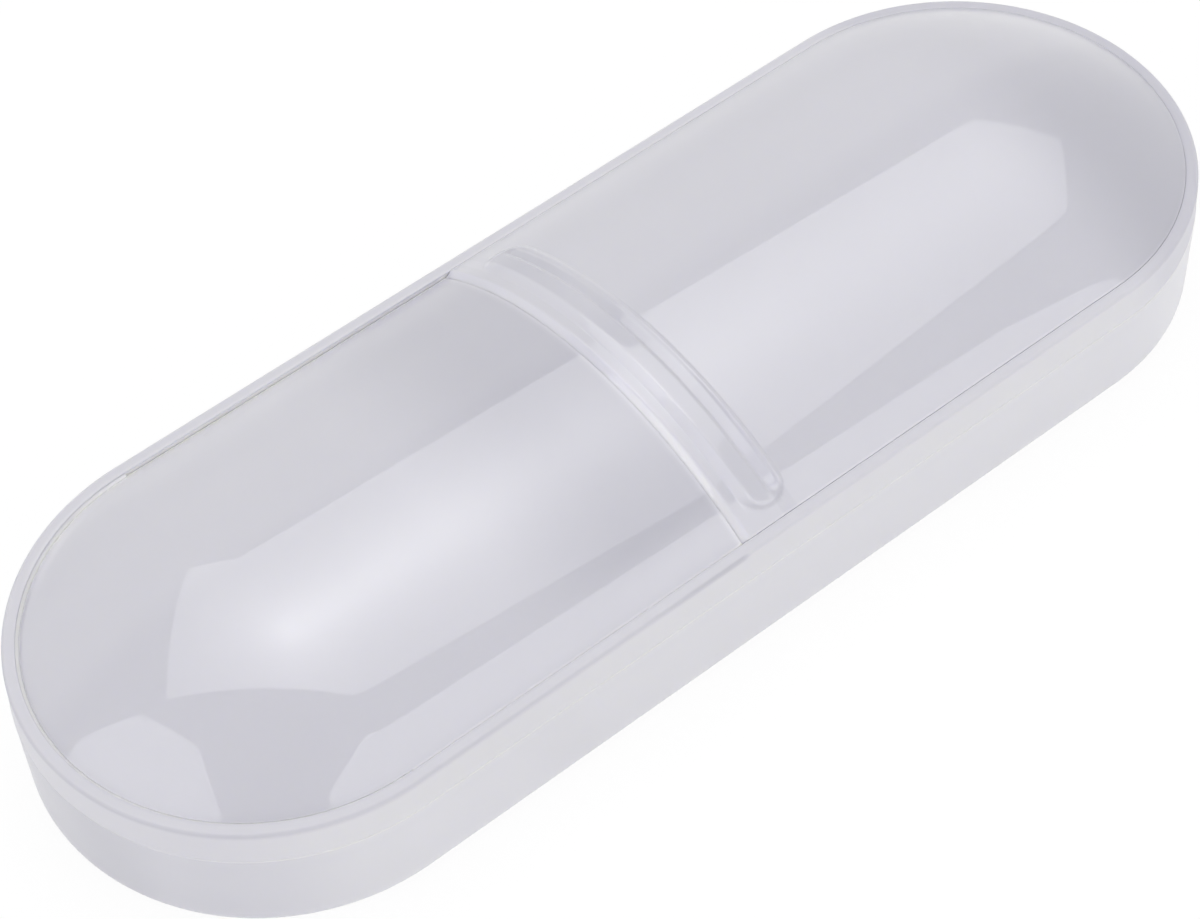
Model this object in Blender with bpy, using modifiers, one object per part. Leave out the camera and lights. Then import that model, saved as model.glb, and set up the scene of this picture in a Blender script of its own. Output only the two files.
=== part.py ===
"""Travel case for a toothbrush, with one fixed domed cover and one sliding cover.

The case lies along X, stands on z = 0 and is centred on the origin. Its outline is a
rectangle with two half-round ends. Each piece is a cross-section, given as points of
radius (distance from the centre line) and height, that is swept along the straight
sides and turned round the ends.
"""

import math

import bmesh
import bpy
from mathutils import Matrix

MM = 0.001

# Overall sizes, stacked from the ground up
CASE_LENGTH = 210.0 * MM
CASE_WIDTH = 74.4 * MM
TRAY_HEIGHT = 16.3 * MM
RING_HEIGHT = 6.1 * MM
COVER_RISE = 10.9 * MM

# Clearance between pieces that slide on, clip over or rest on each other
RUNNING_GAP = 0.3 * MM

# Tray
TRAY_WALL = 1.4 * MM
TRAY_FLOOR = 1.4 * MM
TRAY_BASE_INSET = 0.4 * MM
TRAY_EDGE_RADIUS = 2.2 * MM
TRAY_FLOOR_FILLET = 1.2 * MM
NECK_WALL = 0.9 * MM
NECK_ROOT = 0.5 * MM
RAIL_THICKNESS = 1.0 * MM
RAIL_MARGIN = 0.3 * MM

# Snap bead on the tray's neck, and the groove for it in the frame
BEAD_REACH = 0.25 * MM
BEAD_HEIGHT = 1.0 * MM

# Frame
FRAME_WALL = 1.0 * MM
FRAME_RIM_INSET = 0.2 * MM
FRAME_EDGE_RADIUS = 0.6 * MM
LIP_THICKNESS = 1.1 * MM
LIP_OVERHANG = 0.9 * MM
LIP_EDGE_RADIUS = 0.3 * MM

# Covers
COVER_WALL = 0.7 * MM
SKIRT_WALL = 0.6 * MM
FOOT_THICKNESS = 0.9 * MM
FRONT_EDGE_RADIUS = 0.45 * MM
FIXED_WALL = 0.9 * MM
SEAM_OFFSET = 7.6 * MM
COVER_LAP = 6.0 * MM

# Thumb grip on the sliding cover
GRIP_SETBACK = 3.0 * MM
GRIP_WIDTH = 8.2 * MM
GRIP_HEIGHT = 0.55 * MM
GRIP_END_MARGIN = 2.8 * MM
GRIP_EDGE_RADIUS = 0.35 * MM
POCKET_WIDTH = 2.9 * MM
POCKET_RIM = 1.1 * MM
POCKET_DEPTH = 0.65 * MM

# How finely round shapes are divided
END_STEPS = 28
DOME_STEPS = 12
CORNER_STEPS = 3
GRIP_STEPS = 24

# What a cutter reaches past the surface that it cuts, and the distance that welds points
CUT_OVERRUN = 1.0 * MM
WELD_DISTANCE = 0.001 * MM
SMOOTH_ANGLE = math.radians(35.0)
BEVEL_ANGLE = math.radians(50.0)

# Outline of the case: half its width, and where the half-round ends are centred
HALF_WIDTH = CASE_WIDTH / 2
END_CENTRE = CASE_LENGTH / 2 - HALF_WIDTH

# Heights of the track under the lip, from the rim down
RIM_TOP = TRAY_HEIGHT + RING_HEIGHT
CROWN_TOP = RIM_TOP + COVER_RISE
LIP_UNDERSIDE = RIM_TOP - LIP_THICKNESS
FOOT_TOP = LIP_UNDERSIDE - RUNNING_GAP
FOOT_BOTTOM = FOOT_TOP - FOOT_THICKNESS
RAIL_TOP = FOOT_BOTTOM - RUNNING_GAP

# Radii of what nests in the rim, from the outside in
FRAME_INNER = HALF_WIDTH - FRAME_WALL
TRACK_OUTER = FRAME_INNER - RUNNING_GAP
NECK_INNER = TRACK_OUTER - NECK_WALL
LIP_INNER = FRAME_INNER - LIP_OVERHANG
SKIRT_OUTER = LIP_INNER - RUNNING_GAP
SKIRT_INNER = SKIRT_OUTER - SKIRT_WALL
RISER_OUTER = SKIRT_INNER - RUNNING_GAP
RISER_INNER = RISER_OUTER - FIXED_WALL
RAIL_INNER = RISER_INNER - RAIL_MARGIN

# The domes are arcs about one centre, so one cover slides over the other
DOME_RADIUS = (SKIRT_OUTER**2 + COVER_RISE**2) / (2 * COVER_RISE)
DOME_CENTRE = CROWN_TOP - DOME_RADIUS
COVER_INNER_DOME = DOME_RADIUS - COVER_WALL
FIXED_OUTER_DOME = COVER_INNER_DOME - RUNNING_GAP
FIXED_INNER_DOME = FIXED_OUTER_DOME - FIXED_WALL

# Places along the case
SEAM_X = -SEAM_OFFSET
FIXED_EDGE_X = SEAM_X + COVER_LAP
GRIP_CENTRE_X = SEAM_X + GRIP_SETBACK + GRIP_WIDTH / 2
POCKET_CENTRE_X = GRIP_CENTRE_X + GRIP_WIDTH / 2 - POCKET_RIM - POCKET_WIDTH / 2

RIGHT_END = 1
LEFT_END = -1


def clear_scene():
    """Remove every object that the file opens with."""
    for old in list(bpy.data.objects):
        bpy.data.objects.remove(old, do_unlink=True)


def make_collection(name):
    """Add a collection to the scene and return it."""
    collection = bpy.data.collections.new(name)
    bpy.context.scene.collection.children.link(collection)
    return collection


def make_plastic(name, colour, roughness):
    """Return a frosted plastic material."""
    material = bpy.data.materials.new(name)
    material.use_nodes = True
    shader = material.node_tree.nodes["Principled BSDF"]
    shader.inputs["Base Color"].default_value = (*colour, 1.0)
    shader.inputs["Roughness"].default_value = roughness
    shader.inputs["Metallic"].default_value = 0.0
    material.diffuse_color = (*colour, 1.0)
    return material


def add_object(mesh_builder, name, collection):
    """Turn a finished bmesh into a smooth shaded object in the collection."""
    bmesh.ops.remove_doubles(mesh_builder, verts=mesh_builder.verts, dist=WELD_DISTANCE)
    bmesh.ops.recalc_face_normals(mesh_builder, faces=mesh_builder.faces)
    mesh = bpy.data.meshes.new(name)
    mesh_builder.to_mesh(mesh)
    mesh_builder.free()
    mesh.shade_smooth()
    mesh.set_sharp_from_angle(angle=SMOOTH_ANGLE)
    made = bpy.data.objects.new(name, mesh)
    collection.objects.link(made)
    return made


def add_boolean(target, tool, operation):
    """Join or cut the target with a tool that the finished model leaves out."""
    modifier = target.modifiers.new(f"{operation.lower()} {tool.name}", "BOOLEAN")
    modifier.operation = operation
    modifier.solver = "EXACT"
    modifier.object = tool


def add_edge_rounding(target, width):
    """Round the sharp edges of the target."""
    modifier = target.modifiers.new("rounded edges", "BEVEL")
    modifier.width = width
    modifier.segments = CORNER_STEPS
    modifier.limit_method = "ANGLE"
    modifier.angle_limit = BEVEL_ANGLE


def hide_tool(tool):
    """Show a cutter or a joining shape as wires and keep it out of the model."""
    tool.hide_render = True
    tool.display_type = "WIRE"


def dome_points(arc_radius, edge_radius):
    """Return the points of a dome's arc, from the crown out to the radius of its edge."""
    edge_angle = math.asin(edge_radius / arc_radius)
    angles = [edge_angle * step / DOME_STEPS for step in range(DOME_STEPS + 1)]
    return [(arc_radius * math.sin(a), DOME_CENTRE + arc_radius * math.cos(a)) for a in angles]


def corner_points(centre, radius, start_degrees, end_degrees):
    """Return the points of a rounded corner of a cross-section."""
    points = []
    for step in range(CORNER_STEPS + 1):
        angle = math.radians(start_degrees + (end_degrees - start_degrees) * step / CORNER_STEPS)
        points.append((centre[0] + radius * math.cos(angle), centre[1] + radius * math.sin(angle)))
    return points


def new_edges(result):
    """Return the edges at the moving front of an extrusion or a turn."""
    verts = {item for item in result if isinstance(item, bmesh.types.BMVert)}
    edges = [item for item in result if isinstance(item, bmesh.types.BMEdge)]
    return [edge for edge in edges if verts.issuperset(edge.verts)]


def run_straight(mesh_builder, edges, distance):
    """Extrude the edges along X and return their new front."""
    result = bmesh.ops.extrude_edge_only(mesh_builder, edges=edges)["geom"]
    verts = [item for item in result if isinstance(item, bmesh.types.BMVert)]
    bmesh.ops.translate(mesh_builder, verts=verts, vec=(distance, 0, 0))
    return new_edges(result)


def turn_end(mesh_builder, edges, end):
    """Turn the edges round one half-round end and return their new front."""
    verts = {vert for edge in edges for vert in edge.verts}
    result = bmesh.ops.spin(
        mesh_builder,
        geom=list(verts) + list(edges),
        cent=(end * END_CENTRE, 0, 0),
        axis=(0, 0, 1),
        angle=math.pi,
        steps=END_STEPS,
    )["geom_last"]
    return new_edges(result)


def profile_edges(mesh_builder, points, x, side, closed):
    """Lay a cross-section across the case at x, on the side of the given sign of y."""
    verts = [mesh_builder.verts.new((x, side * radius, height)) for radius, height in points]
    pairs = list(zip(verts, verts[1:]))
    if closed:
        pairs.append((verts[-1], verts[0]))
    return [mesh_builder.edges.new(pair) for pair in pairs]


def sweep_all_round(name, points, closed, collection):
    """Sweep a cross-section right round the case."""
    mesh_builder = bmesh.new()
    front = profile_edges(mesh_builder, points, -END_CENTRE, -1, closed)
    front = run_straight(mesh_builder, front, 2 * END_CENTRE)
    front = turn_end(mesh_builder, front, RIGHT_END)
    front = run_straight(mesh_builder, front, -2 * END_CENTRE)
    turn_end(mesh_builder, front, LEFT_END)
    return add_object(mesh_builder, name, collection)


def sweep_one_end(points, start_x, end, closed):
    """Sweep a cross-section from start_x round one end and back, and close its cut faces."""
    mesh_builder = bmesh.new()
    run = end * END_CENTRE - start_x
    front = profile_edges(mesh_builder, points, start_x, -end, closed)
    if run:
        front = run_straight(mesh_builder, front, run)
    front = turn_end(mesh_builder, front, end)
    if run:
        run_straight(mesh_builder, front, -run)
    bmesh.ops.remove_doubles(mesh_builder, verts=mesh_builder.verts, dist=WELD_DISTANCE)
    open_edges = [edge for edge in mesh_builder.edges if edge.is_boundary]
    bmesh.ops.holes_fill(mesh_builder, edges=open_edges, sides=0)
    bmesh.ops.recalc_face_normals(mesh_builder, faces=mesh_builder.faces)
    return mesh_builder


def dome_sheet(name, radius, thickness, centre_x, length, collection):
    """Make a slab that follows the straight part of the dome, with its top at the radius."""
    near = dome_points(radius, SKIRT_OUTER)
    points = near[:0:-1] + [(-across, height) for across, height in near]
    mesh_builder = bmesh.new()
    front = profile_edges(mesh_builder, points, centre_x - length / 2, -1, False)
    run_straight(mesh_builder, front, length)
    sheet = add_object(mesh_builder, name, collection)
    if sheet.data.polygons[0].normal.z < 0:
        sheet.data.flip_normals()
    slab = sheet.modifiers.new("thickness", "SOLIDIFY")
    slab.thickness = thickness
    slab.offset = -1.0
    slab.use_even_offset = True
    return sheet


def round_ended_prism(name, centre_x, width, half_span, collection):
    """Make an upright block with half-round ends that lies across the case."""
    mesh_builder = bmesh.new()
    made = bmesh.ops.create_circle(
        mesh_builder, cap_ends=True, segments=GRIP_STEPS, radius=width / 2
    )
    turn = math.pi / GRIP_STEPS
    bmesh.ops.rotate(
        mesh_builder, verts=made["verts"], cent=(0, 0, 0), matrix=Matrix.Rotation(turn, 3, "Z")
    )
    shift = half_span - width / 2
    for vert in made["verts"]:
        vert.co.y += math.copysign(shift, vert.co.y)
    bmesh.ops.translate(mesh_builder, verts=made["verts"], vec=(centre_x, 0, FOOT_BOTTOM))
    raised = bmesh.ops.extrude_face_region(mesh_builder, geom=mesh_builder.faces[:])["geom"]
    moved = [item for item in raised if isinstance(item, bmesh.types.BMVert)]
    bmesh.ops.translate(mesh_builder, verts=moved, vec=(0, 0, CROWN_TOP))
    return add_object(mesh_builder, name, collection)


def make_lower_tray(collection):
    """Make the tray, with the neck that enters the frame and the rail on top of it."""
    base_radius = HALF_WIDTH - TRAY_BASE_INSET
    wall_inner = HALF_WIDTH - TRAY_WALL
    root_height = TRAY_HEIGHT - NECK_ROOT
    chamfer = wall_inner - NECK_INNER
    bead_centre = (TRAY_HEIGHT + RAIL_TOP) / 2
    edge_centre = (base_radius - TRAY_EDGE_RADIUS, TRAY_EDGE_RADIUS)
    fillet_centre = (base_radius - TRAY_WALL - TRAY_FLOOR_FILLET, TRAY_FLOOR + TRAY_FLOOR_FILLET)
    points = [(0, 0)]
    points += corner_points(edge_centre, TRAY_EDGE_RADIUS, -90, 0)
    points += [
        (HALF_WIDTH, TRAY_HEIGHT),
        (TRACK_OUTER, TRAY_HEIGHT),
        (TRACK_OUTER, bead_centre - BEAD_HEIGHT / 2),
        (TRACK_OUTER + BEAD_REACH, bead_centre),
        (TRACK_OUTER, bead_centre + BEAD_HEIGHT / 2),
        (TRACK_OUTER, RAIL_TOP),
        (RAIL_INNER, RAIL_TOP),
        (RAIL_INNER, RAIL_TOP - RAIL_THICKNESS),
        (NECK_INNER, RAIL_TOP - RAIL_THICKNESS),
        (NECK_INNER, root_height),
        (wall_inner, root_height - chamfer),
    ]
    points += corner_points(fillet_centre, TRAY_FLOOR_FILLET, 0, -90)
    points.append((0, TRAY_FLOOR))
    return sweep_all_round("lower_tray", points, False, collection)


def make_rim_frame(collection):
    """Make the upper ring of the wall, with its inward lip."""
    ring_base = TRAY_HEIGHT + RUNNING_GAP
    rim_radius = HALF_WIDTH - FRAME_RIM_INSET
    bead_centre = (TRAY_HEIGHT + RAIL_TOP) / 2
    edge_centre = (rim_radius - FRAME_EDGE_RADIUS, RIM_TOP - FRAME_EDGE_RADIUS)
    lip_centre = (LIP_INNER + LIP_EDGE_RADIUS, RIM_TOP - LIP_EDGE_RADIUS)
    points = [(HALF_WIDTH, ring_base)]
    points += corner_points(edge_centre, FRAME_EDGE_RADIUS, 0, 90)
    points += corner_points(lip_centre, LIP_EDGE_RADIUS, 90, 180)
    points += [
        (LIP_INNER, LIP_UNDERSIDE),
        (FRAME_INNER, LIP_UNDERSIDE),
        (FRAME_INNER, bead_centre + BEAD_HEIGHT / 2),
        (FRAME_INNER + BEAD_REACH, bead_centre),
        (FRAME_INNER, bead_centre - BEAD_HEIGHT / 2),
        (FRAME_INNER, ring_base),
    ]
    return sweep_all_round("rim_frame", points, True, collection)


def make_fixed_cover(parts, tools):
    """Make the left cover, with the foot that the lip clamps round its end."""
    outer = dome_points(FIXED_OUTER_DOME, RISER_OUTER)
    inner = dome_points(FIXED_INNER_DOME, RISER_INNER)
    points = outer + [(RISER_OUTER, FOOT_BOTTOM), (RISER_INNER, FOOT_BOTTOM)] + inner[::-1]
    shell = sweep_one_end(points, FIXED_EDGE_X, LEFT_END, False)
    cover = add_object(shell, "fixed_cover", parts)
    foot_root = (RISER_INNER + RISER_OUTER) / 2
    foot_points = [
        (foot_root, FOOT_BOTTOM),
        (TRACK_OUTER, FOOT_BOTTOM),
        (TRACK_OUTER, FOOT_TOP),
        (foot_root, FOOT_TOP),
    ]
    foot_shape = sweep_one_end(foot_points, -END_CENTRE, LEFT_END, True)
    foot = add_object(foot_shape, "fixed_foot", tools)
    hide_tool(foot)
    add_boolean(cover, foot, "UNION")
    return cover


def round_front_edge(mesh_builder):
    """Round the top edge of the sliding cover's cut face at the seam."""
    edges = []
    for edge in mesh_builder.edges:
        at_seam = all(abs(vert.co.x - SEAM_X) < WELD_DISTANCE for vert in edge.verts)
        reach = [math.hypot(vert.co.y, vert.co.z - DOME_CENTRE) for vert in edge.verts]
        if at_seam and min(reach) > DOME_RADIUS - WELD_DISTANCE:
            edges.append(edge)
    bmesh.ops.bevel(
        mesh_builder,
        geom=edges,
        offset=min(FRONT_EDGE_RADIUS, COVER_WALL),
        segments=CORNER_STEPS,
        profile=0.5,
        affect="EDGES",
    )


def make_grip(tools):
    """Make the raised pad of the thumb grip and the cutter for its pocket."""
    half_span = SKIRT_OUTER - GRIP_END_MARGIN
    pad_depth = GRIP_HEIGHT + COVER_WALL / 2
    pad = dome_sheet(
        "grip_pad", DOME_RADIUS + GRIP_HEIGHT, pad_depth, GRIP_CENTRE_X, 2 * GRIP_WIDTH, tools
    )
    pad_outline = round_ended_prism("grip_outline", GRIP_CENTRE_X, GRIP_WIDTH, half_span, tools)
    add_boolean(pad, pad_outline, "INTERSECT")
    add_edge_rounding(pad, GRIP_EDGE_RADIUS)
    pocket = dome_sheet(
        "grip_pocket",
        DOME_RADIUS + GRIP_HEIGHT + CUT_OVERRUN,
        POCKET_DEPTH + CUT_OVERRUN,
        POCKET_CENTRE_X,
        2 * GRIP_WIDTH,
        tools,
    )
    pocket_outline = round_ended_prism(
        "pocket_outline", POCKET_CENTRE_X, POCKET_WIDTH, half_span - POCKET_RIM, tools
    )
    add_boolean(pocket, pocket_outline, "INTERSECT")
    for tool in (pad, pad_outline, pocket, pocket_outline):
        hide_tool(tool)
    return pad, pocket


def make_sliding_cover(parts, tools):
    """Make the right cover, with the foot that runs in the track and the thumb grip."""
    outer = dome_points(DOME_RADIUS, SKIRT_OUTER)
    inner = dome_points(COVER_INNER_DOME, SKIRT_INNER)
    foot_points = [
        (SKIRT_OUTER, FOOT_TOP),
        (TRACK_OUTER, FOOT_TOP),
        (TRACK_OUTER, FOOT_BOTTOM),
        (SKIRT_INNER, FOOT_BOTTOM),
    ]
    points = outer + foot_points + inner[::-1]
    shell = sweep_one_end(points, SEAM_X, RIGHT_END, False)
    round_front_edge(shell)
    cover = add_object(shell, "sliding_cover", parts)
    pad, pocket = make_grip(tools)
    add_boolean(cover, pad, "UNION")
    add_boolean(cover, pocket, "DIFFERENCE")
    return cover


def add_slide_empty(cover, collection):
    """Hang the sliding cover on an empty at its leading foot, on the rail."""
    slide = bpy.data.objects.new("cover_slide", None)
    slide.empty_display_type = "SINGLE_ARROW"
    slide.empty_display_size = SEAM_OFFSET
    slide.location = (SEAM_X, 0, RAIL_TOP)
    collection.objects.link(slide)
    bpy.context.view_layer.update()
    cover.parent = slide
    cover.matrix_parent_inverse = slide.matrix_world.inverted()


def main():
    """Build the case."""
    clear_scene()
    parts = make_collection("toothbrush_case")
    tools = make_collection("cutters")
    tray = make_lower_tray(parts)
    frame = make_rim_frame(parts)
    fixed = make_fixed_cover(parts, tools)
    sliding = make_sliding_cover(parts, tools)
    add_slide_empty(sliding, parts)
    tray.data.materials.append(make_plastic("tray_plastic", (0.82, 0.82, 0.86), 0.35))
    frame.data.materials.append(make_plastic("frame_plastic", (0.84, 0.84, 0.88), 0.30))
    fixed.data.materials.append(make_plastic("fixed_cover_plastic", (0.80, 0.80, 0.84), 0.22))
    sliding.data.materials.append(make_plastic("sliding_cover_plastic", (0.84, 0.84, 0.87), 0.22))


if __name__ == "__main__":
    main()
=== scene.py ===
"""Looks of a frosted travel case for a toothbrush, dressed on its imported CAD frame.

The case is four moulded shells: a tray, a rim frame with an inward lip, a fixed dome on
the left and a sliding dome with a thumb grip on the right. Each shell is a cross-section
that Geometry Nodes carry round the stadium outline of the case. Sizes are in millimetres
and are turned into metres where a mesh is made.
"""

import logging
import math
from dataclasses import dataclass, field
from enum import Enum
from functools import partial
from typing import Any

import bmesh
import bpy
import numpy as np
from mathutils import Matrix, Vector


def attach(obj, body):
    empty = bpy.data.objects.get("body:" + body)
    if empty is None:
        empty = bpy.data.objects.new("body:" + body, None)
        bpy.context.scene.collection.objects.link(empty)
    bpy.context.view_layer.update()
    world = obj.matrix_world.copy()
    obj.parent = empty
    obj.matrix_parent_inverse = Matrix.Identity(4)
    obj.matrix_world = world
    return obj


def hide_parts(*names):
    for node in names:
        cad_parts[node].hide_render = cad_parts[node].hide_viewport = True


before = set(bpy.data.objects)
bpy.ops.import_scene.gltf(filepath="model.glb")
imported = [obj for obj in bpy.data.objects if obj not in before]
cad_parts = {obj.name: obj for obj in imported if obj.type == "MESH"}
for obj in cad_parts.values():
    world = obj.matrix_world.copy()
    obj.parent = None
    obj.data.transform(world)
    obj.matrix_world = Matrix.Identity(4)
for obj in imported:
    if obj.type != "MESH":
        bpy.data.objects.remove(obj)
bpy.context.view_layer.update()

MM = 0.001
SHARP_ANGLE = math.radians(50.0)
WELD_DISTANCE = 0.002
CAMERA_SENSOR = 36.0
log = logging.getLogger("travel_case")

Point = tuple[float, float]
Colour = tuple[float, float, float]


class End(Enum):
    """Which part of the stadium outline a shell runs round."""

    RIGHT = "right"
    LEFT = "left"
    BOTH = "both"


@dataclass(frozen=True)
class Outline:
    """The outline and the stacked heights that all four shells share.

    Args:
        end_centre: Distance of each half-round end's centre from the middle.
        half_width: Half the width of the case.
        parting: Height of the tray's top edge.
        ring_base: Height of the frame's lower edge.
        rim_top: Height of the frame's rim.
        lip_under: Height of the lip's underside.
        foot_top: Top of the covers' feet.
        foot_base: Underside of the covers' feet.
        rail_top: Top of the rail that the feet rest on.
        crown: Height of the sliding cover's crown, without the grip.
        dome_radius: Radius of the sliding cover's dome across the case.
        edge_round: Radius of the small edges inside.
    """

    end_centre: float = 67.8
    half_width: float = 37.2
    parting: float = 16.3
    ring_base: float = 16.31
    rim_top: float = 22.4
    lip_under: float = 21.3
    foot_top: float = 21.0
    foot_base: float = 20.1
    rail_top: float = 19.8
    crown: float = 33.3
    dome_radius: float = 61.64
    edge_round: float = 0.15

    @property
    def dome_centre(self) -> float:
        """Height of the axis that all the domes are turned about."""
        return self.crown - self.dome_radius


def put_in_scene(name: str, data: Any) -> bpy.types.Object:
    """Make an object and link it to the scene.

    Args:
        name: The object's name.
        data: Its mesh, light or camera.

    Returns:
        The new object.
    """
    made = bpy.data.objects.new(name, data)
    bpy.context.scene.collection.objects.link(made)
    return made


class NodeWriter:
    """Adds nodes to a node tree and links them, for materials, lights and geometry."""

    def __init__(self, tree: bpy.types.NodeTree) -> None:
        """Remember the tree that gets the nodes."""
        self.tree = tree

    def add(
        self, kind: str, inputs: dict[Any, Any] | None = None, **settings: Any
    ) -> bpy.types.Node:
        """Add a node, set its properties and fill its inputs.

        Args:
            kind: The node's type name.
            inputs: Sockets or plain values by the input's name or number.
            **settings: Properties of the node.

        Returns:
            The new node.
        """
        node = self.tree.nodes.new(kind)
        for name, value in settings.items():
            setattr(node, name, value)
        for key, value in (inputs or {}).items():
            self.feed(node.inputs[key], value)
        return node

    def feed(self, socket: bpy.types.NodeSocket, value: Any) -> None:
        """Link a socket to another one, or set its own value.

        Args:
            socket: The input socket.
            value: An output socket, or a plain value.
        """
        if isinstance(value, bpy.types.NodeSocket):
            self.tree.links.new(value, socket)
        else:
            socket.default_value = value

    def math(self, operation: str, *values: Any, clamp: bool = False) -> bpy.types.NodeSocket:
        """Add a Math node.

        Args:
            operation: The name of the operation.
            *values: Sockets or numbers for its inputs.
            clamp: Whether the result is kept between 0 and 1.

        Returns:
            The node's output socket.
        """
        inputs = dict(enumerate(values))
        return self.add("ShaderNodeMath", inputs, operation=operation, use_clamp=clamp).outputs[0]

    def remap(self, *values: Any, step: str = "LINEAR") -> bpy.types.NodeSocket:
        """Add a clamped Map Range node.

        Args:
            *values: What is mapped, its low and high end, and the result at each end.
            step: How the result goes from one end to the other.

        Returns:
            The node's output socket.
        """
        inputs = dict(enumerate(values))
        node = self.add("ShaderNodeMapRange", inputs, clamp=True, interpolation_type=step)
        return node.outputs[0]


@dataclass(frozen=True)
class Corner:
    """One corner of a cross-section.

    Args:
        radius: Distance from the centre line.
        height: Height above the ground.
        fillet: Radius that the corner is rounded to.
    """

    radius: float
    height: float
    fillet: float = 0.0


@dataclass(frozen=True)
class Section:
    """A cross-section as a row of corners, from which the fine points are made.

    Args:
        corners: The corners in order.
        closed: Whether the last corner joins the first.
        arc_step: Largest turn of one step round a fillet, in degrees.
        support: Where a fillet's supporting point lies past its arc, as a share of its radius.
        side_share: The share of a side that a fillet and its support may take.
    """

    corners: tuple[Corner, ...]
    closed: bool = False
    arc_step: float = 11.0
    support: float = 0.3
    side_share: float = 0.9

    def points(self) -> list[Point]:
        """Make the fine points, with a supporting point on each side of a fillet.

        Returns:
            The points as radius and height, in millimetres.
        """
        count = len(self.corners)
        found: list[Point] = []
        for place, corner in enumerate(self.corners):
            inner = self.closed or 0 < place < count - 1
            if corner.fillet <= 0 or not inner:
                found.append((corner.radius, corner.height))
                continue
            before = self.corners[place - 1]
            after = self.corners[(place + 1) % count]
            found += self._fillet(before, corner, after)
        if self.closed:
            found.append(found[0])
        return found

    def _fillet(self, before: Corner, corner: Corner, after: Corner) -> list[Point]:
        """Return the points round one fillet.

        Args:
            before: The corner before it.
            corner: The corner that is rounded.
            after: The corner after it.

        Returns:
            The arc's points between two supporting points.
        """
        at = np.array((corner.radius, corner.height))
        back = np.array((before.radius, before.height)) - at
        ahead = np.array((after.radius, after.height)) - at
        back_room, ahead_room = np.linalg.norm(back), np.linalg.norm(ahead)
        back, ahead = back / back_room, ahead / ahead_room
        half_angle = math.acos(float(np.clip(back @ ahead, -1.0, 1.0))) / 2
        reach = corner.fillet / math.tan(half_angle)
        middle = (back + ahead) / np.linalg.norm(back + ahead)
        centre = at + middle * corner.fillet / math.sin(half_angle)
        start, end = at + back * reach - centre, at + ahead * reach - centre
        turn = math.pi - 2 * half_angle
        steps = max(3, math.ceil(math.degrees(turn) / self.arc_step))
        outer = reach + self.support * corner.fillet
        found = []
        if outer < self.side_share * back_room:
            found.append(at + back * outer)
        for step in range(steps + 1):
            share = step / steps
            mixed = math.sin((1 - share) * turn) * start + math.sin(share * turn) * end
            found.append(centre + mixed / math.sin(turn))
        if outer < self.side_share * ahead_room:
            found.append(at + ahead * outer)
        return [(float(point[0]), float(point[1])) for point in found]


def dome_corners(
    outline: Outline, radius: float, reach: float, steps: int, shoulder: float = 0.0
) -> list[Corner]:
    """Return the points of a dome from its crown line out to a radius of the plan.

    Args:
        outline: The shared outline.
        radius: The dome's radius across the case.
        reach: How far from the centre line the dome goes.
        steps: The number of steps on the way.
        shoulder: Radius that the last corner is rounded to.

    Returns:
        The corners, from the crown line outwards.
    """
    limit = math.asin(reach / radius)
    corners = []
    for step in range(steps + 1):
        angle = limit * step / steps
        height = outline.dome_centre + radius * math.cos(angle)
        fillet = shoulder if step == steps else 0.0
        corners.append(Corner(radius * math.sin(angle), height, fillet))
    return corners


@dataclass(frozen=True)
class Run:
    """How a cross-section is carried along the outline.

    Args:
        end: The end or ends that it runs round.
        edge: Where the shell stops, measured towards its own end from the middle.
        nose: Length next to the edge that is divided ever more finely.
        nose_steps: The number of steps in the nose.
        fine: Length after the nose that is divided finely.
        fine_steps: The number of steps in the fine length.
        plain_steps: The number of steps in the rest of the straight.
        end_steps: The number of steps round the half-round end.
    """

    end: End
    edge: float = 0.0
    nose: float = 0.4
    nose_steps: int = 1
    fine: float = 0.4
    fine_steps: int = 1
    plain_steps: int = 16
    end_steps: int = 96


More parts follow.
